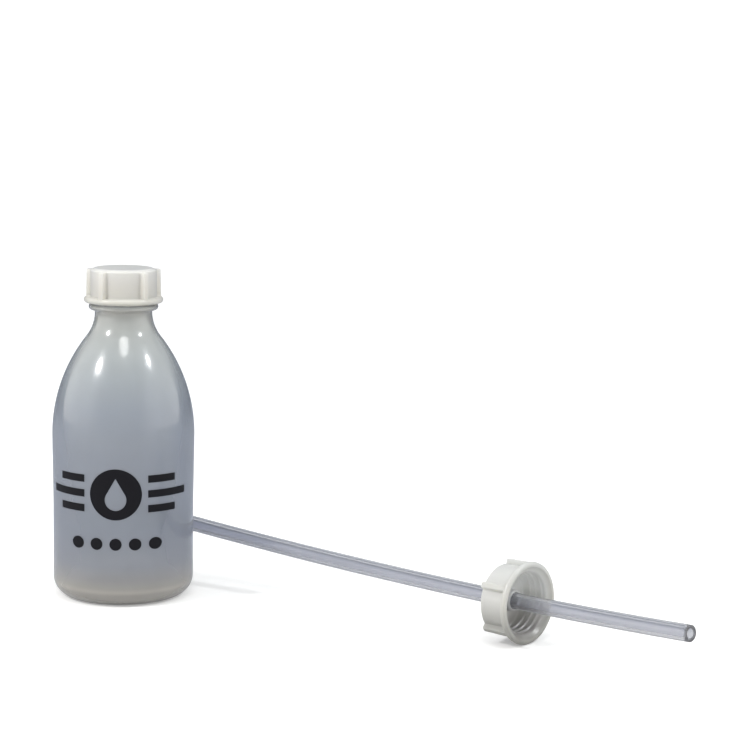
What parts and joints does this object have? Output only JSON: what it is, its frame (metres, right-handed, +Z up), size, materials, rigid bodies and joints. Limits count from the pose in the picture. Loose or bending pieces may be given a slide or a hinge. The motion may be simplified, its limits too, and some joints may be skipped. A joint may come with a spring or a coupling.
{
  "type": "treadmill lubricant bottle",
  "caption": "Milky squeeze bottle with rounded shoulders, narrow neck and ribbed screw cap, with a loose ribbed cap that holds a long bowed spout tube.",
  "frame": {"origin": "centre of the bottle's foot ring, on the surface it stands on", "axes": "+Z up along the bottle, -Y towards the printed front, +X towards the loose cap and the spout tube's open end"},
  "size_m": [0.2623, 0.1812, 0.1428],
  "materials": {
    "bottle_plastic": "milky, smooth, softly glossy",
    "ink": "black screen print",
    "cap_plastic": "milky, satin",
    "loose_cap_plastic": "milky, satin",
    "tube_plastic": "clear, glossy"
  },
  "bodies": {
    "bottle": {"bottle": "bottle_plastic", "front_print": "ink", "applicator_cap": "loose_cap_plastic"},
    "closed_cap": {"screw_cap": "cap_plastic"},
    "tube": {"spout_tube": "tube_plastic"}
  },
  "joints": [
    {"name": "cap_lift", "type": "slide", "parent": "bottle", "child": "closed_cap", "axis": [0, 0, 1], "range_m": [0, 0.03]},
    {"name": "tube_slide", "type": "hinge", "parent": "bottle", "child": "tube", "pos_m": [-0.1831, -0.45973, 0.30079], "axis": [-0.3076, -0.365, -0.8787], "range_deg": [-6.5, 16.5]}
  ]
}
